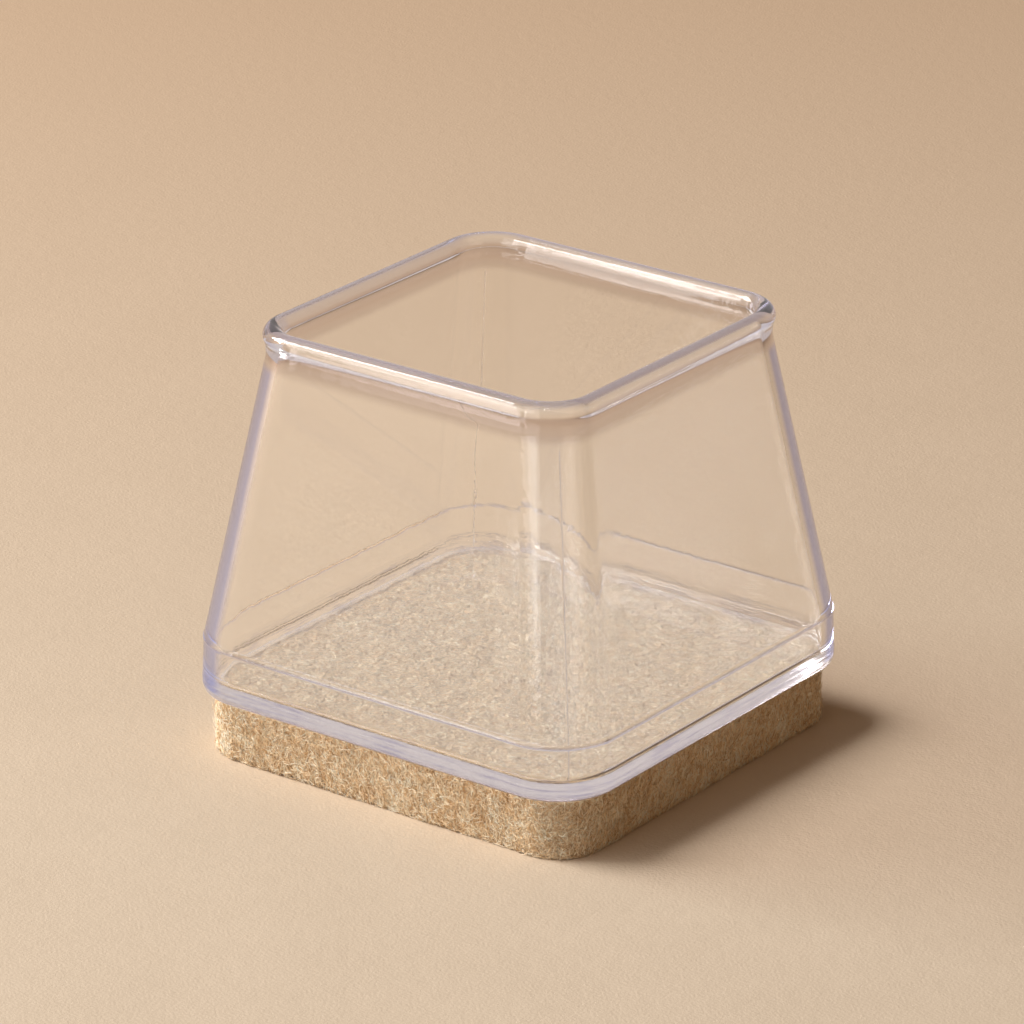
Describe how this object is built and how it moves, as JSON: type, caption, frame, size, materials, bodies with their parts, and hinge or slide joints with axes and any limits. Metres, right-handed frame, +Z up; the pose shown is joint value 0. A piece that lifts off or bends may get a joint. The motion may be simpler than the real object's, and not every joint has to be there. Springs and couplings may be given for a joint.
{
  "type": "chair leg cap",
  "caption": "Clear tapered square leg cap with a rolled rim, an upright foot band and a felt pad glued under its floor, so that a chair slides quietly.",
  "frame": {"origin": "on the floor, under the middle of the felt pad", "axes": "+Z up along the cap's axis, out of its mouth; X and Y square to its sides"},
  "size_m": [0.04, 0.04, 0.0363],
  "materials": {
    "clear_plastic": "polished",
    "adhesive": "satin",
    "wool_felt": "matte"
  },
  "bodies": {
    "root": {"clear_cap": "clear_plastic", "adhesive_film": "adhesive", "felt_pad": "wool_felt"}
  },
  "joints": []
}
